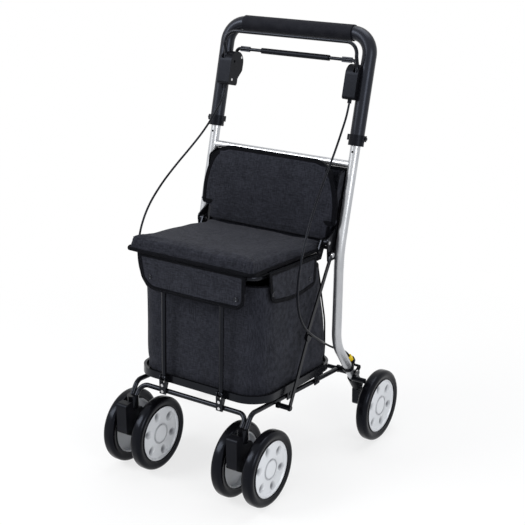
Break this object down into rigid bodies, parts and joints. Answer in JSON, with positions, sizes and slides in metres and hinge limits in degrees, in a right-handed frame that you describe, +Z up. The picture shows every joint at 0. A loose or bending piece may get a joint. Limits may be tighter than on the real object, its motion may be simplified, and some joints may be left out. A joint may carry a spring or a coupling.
{
  "type": "shopping rollator",
  "caption": "Folding walking frame on wheels with a padded seat, a bag on a tray, a telescopic handle, cable brakes, twin front casters and rear wheels.",
  "frame": {"origin": "on the floor, midway between the wheels", "axes": "+Z up, -Y the front where the casters are, +X to the right seen from the front"},
  "size_m": [0.5086, 0.566, 0.9683],
  "materials": {
    "silver_tube": "satin anodised",
    "black_tube": "gloss powder coat",
    "black_plastic": "matt",
    "grey_metal": "satin",
    "steel": "satin",
    "grip_foam": "matt foam",
    "yellow": "gloss",
    "cable": "satin",
    "cloth": "woven",
    "tyre": "matt",
    "rim": "satin"
  },
  "bodies": {
    "frame": {"upright_right": "silver_tube", "upright_left": "silver_tube", "upper_cross_tube": "silver_tube", "rear_panel": "cloth", "backrest": "cloth", "side_brackets": "black_tube", "frame_bolts": "steel", "pivot_axle": "black_tube", "rear_axles": "grey_metal", "tube_fittings": "black_plastic", "cable_adjusters": "yellow", "cable_right": "cable", "cable_left": "cable"},
    "handle": {"handle_tube": "black_tube", "grip_pad": "grip_foam", "collars": "black_plastic", "brake_housings": "black_plastic", "housing_covers": "black_plastic", "housing_fasteners": "steel"},
    "button_right": {"height_button_right": "black_plastic"},
    "button_left": {"height_button_left": "black_plastic"},
    "bail": {"brake_bail": "black_tube"},
    "parking": {"park_bar": "black_tube", "park_sleeve": "black_plastic"},
    "base": {"base_rails": "black_tube", "front_cross_tube": "black_tube", "caster_sockets": "black_tube", "rail_fittings": "black_tube", "tray_ring": "black_tube", "tray_board": "black_plastic", "bag": "cloth", "rod_clips": "black_tube", "clip_screws": "steel"},
    "rods": {"front_rods": "black_tube"},
    "seat": {"seat_frame": "black_tube", "hinge_lugs": "grey_metal"},
    "lid": {"seat_board": "black_plastic", "cushion": "cloth", "front_flap": "cloth", "side_flaps": "cloth", "snaps": "steel"},
    "upper_stays": {"upper_stays": "black_tube"},
    "lower_stays": {"lower_stays": "black_tube"},
    "brakes": {"brake_arms": "black_tube"},
    "caster_right": {"caster_fork_right": "black_plastic", "caster_pins_right": "steel"},
    "wheel_front_right_outer": {"tyre_front_right_outer": "tyre", "rim_front_right_outer": "rim"},
    "wheel_front_right_inner": {"tyre_front_right_inner": "tyre", "rim_front_right_inner": "rim"},
    "wheel_rear_right": {"tyre_rear_right": "tyre", "rim_rear_right": "rim"},
    "caster_left": {"caster_fork_left": "black_plastic", "caster_pins_left": "steel"},
    "wheel_front_left_outer": {"tyre_front_left_outer": "tyre", "rim_front_left_outer": "rim"},
    "wheel_front_left_inner": {"tyre_front_left_inner": "tyre", "rim_front_left_inner": "rim"},
    "wheel_rear_left": {"tyre_rear_left": "tyre", "rim_rear_left": "rim"}
  },
  "joints": [
    {"name": "handle_height", "type": "slide", "parent": "frame", "child": "handle", "axis": [0, 0.2588, 0.9659], "range_m": [0, 0.075], "deforming": ["cable_right", "cable_left"]},
    {"name": "height_button_right", "type": "slide", "parent": "handle", "child": "button_right", "axis": [-1, 0, 0], "range_m": [0, 0.003], "stiffness_N_per_m": 500, "springref_m": -0.002},
    {"name": "height_button_left", "type": "slide", "parent": "handle", "child": "button_left", "axis": [1, 0, 0], "range_m": [0, 0.003], "stiffness_N_per_m": 500, "springref_m": -0.002},
    {"name": "brake_bail", "type": "hinge", "parent": "handle", "child": "bail", "pos_m": [0, 0.17272, 0.86258], "axis": [-1, 0, 0], "range_deg": [0, 12], "stiffness_Nm_per_rad": 2, "springref_deg": -11.46},
    {"name": "parking_bar", "type": "hinge", "parent": "handle", "child": "parking", "pos_m": [0, 0.1964, 0.86866], "axis": [-1, 0, 0], "range_deg": [0, 35]},
    {"name": "fold", "type": "hinge", "parent": "frame", "child": "base", "pos_m": [0, 0.16118, 0.17146], "axis": [-1, 0, 0], "range_deg": [0, 45], "deforming": ["bag"]},
    {"name": "front_rods", "type": "hinge", "parent": "base", "child": "rods", "pos_m": [0, -0.2088, 0.235], "axis": [-1, 0, 0], "range_deg": [-54.5, 0.5]},
    {"name": "seat_fold", "type": "hinge", "parent": "frame", "child": "seat", "pos_m": [0, 0.0688, 0.514], "axis": [-1, 0, 0], "range_deg": [-0.5, 58]},
    {"name": "lid", "type": "hinge", "parent": "seat", "child": "lid", "pos_m": [0, 0.0688, 0.514], "axis": [-1, 0, 0], "range_deg": [0, 35]},
    {"name": "upper_stays", "type": "hinge", "parent": "frame", "child": "upper_stays", "pos_m": [0, 0.0723, 0.486], "axis": [-1, 0, 0], "range_deg": [-0.5, 58]},
    {"name": "lower_stays", "type": "hinge", "parent": "base", "child": "lower_stays", "pos_m": [0, -0.1032, 0.186], "axis": [-1, 0, 0], "range_deg": [-113, 0.5]},
    {"name": "rear_brakes", "type": "hinge", "parent": "frame", "child": "brakes", "pos_m": [0, 0.16118, 0.17146], "axis": [1, 0, 0], "range_deg": [-0.1, 4.1]},
    {"name": "swivel_right", "type": "hinge", "parent": "base", "child": "caster_right", "pos_m": [0.1475, -0.233, 0.15], "axis": [0, 0, 1], "continuous": true},
    {"name": "wheel_front_right_outer", "type": "hinge", "parent": "caster_right", "child": "wheel_front_right_outer", "pos_m": [0.1475, -0.198, 0.085], "axis": [1, 0, 0], "continuous": true},
    {"name": "wheel_front_right_inner", "type": "hinge", "parent": "caster_right", "child": "wheel_front_right_inner", "pos_m": [0.1475, -0.198, 0.085], "axis": [1, 0, 0], "continuous": true},
    {"name": "wheel_rear_right", "type": "hinge", "parent": "frame", "child": "wheel_rear_right", "pos_m": [0.2403, 0.198, 0.085], "axis": [1, 0, 0], "continuous": true},
    {"name": "swivel_left", "type": "hinge", "parent": "base", "child": "caster_left", "pos_m": [-0.1475, -0.233, 0.15], "axis": [0, 0, 1], "continuous": true},
    {"name": "wheel_front_left_outer", "type": "hinge", "parent": "caster_left", "child": "wheel_front_left_outer", "pos_m": [-0.1475, -0.198, 0.085], "axis": [1, 0, 0], "continuous": true},
    {"name": "wheel_front_left_inner", "type": "hinge", "parent": "caster_left", "child": "wheel_front_left_inner", "pos_m": [-0.1475, -0.198, 0.085], "axis": [1, 0, 0], "continuous": true},
    {"name": "wheel_rear_left", "type": "hinge", "parent": "frame", "child": "wheel_rear_left", "pos_m": [-0.2403, 0.198, 0.085], "axis": [1, 0, 0], "continuous": true}
  ],
  "couplings": [
    {"joint": "front_rods", "follows": "fold", "ratio": -1.2},
    {"joint": "seat_fold", "follows": "fold", "ratio": 1.28},
    {"joint": "upper_stays", "follows": "fold", "ratio": 1.28},
    {"joint": "lower_stays", "follows": "fold", "ratio": -2.5},
    {"joint": "rear_brakes", "follows": "brake_bail", "ratio": 0.3333}
  ]
}
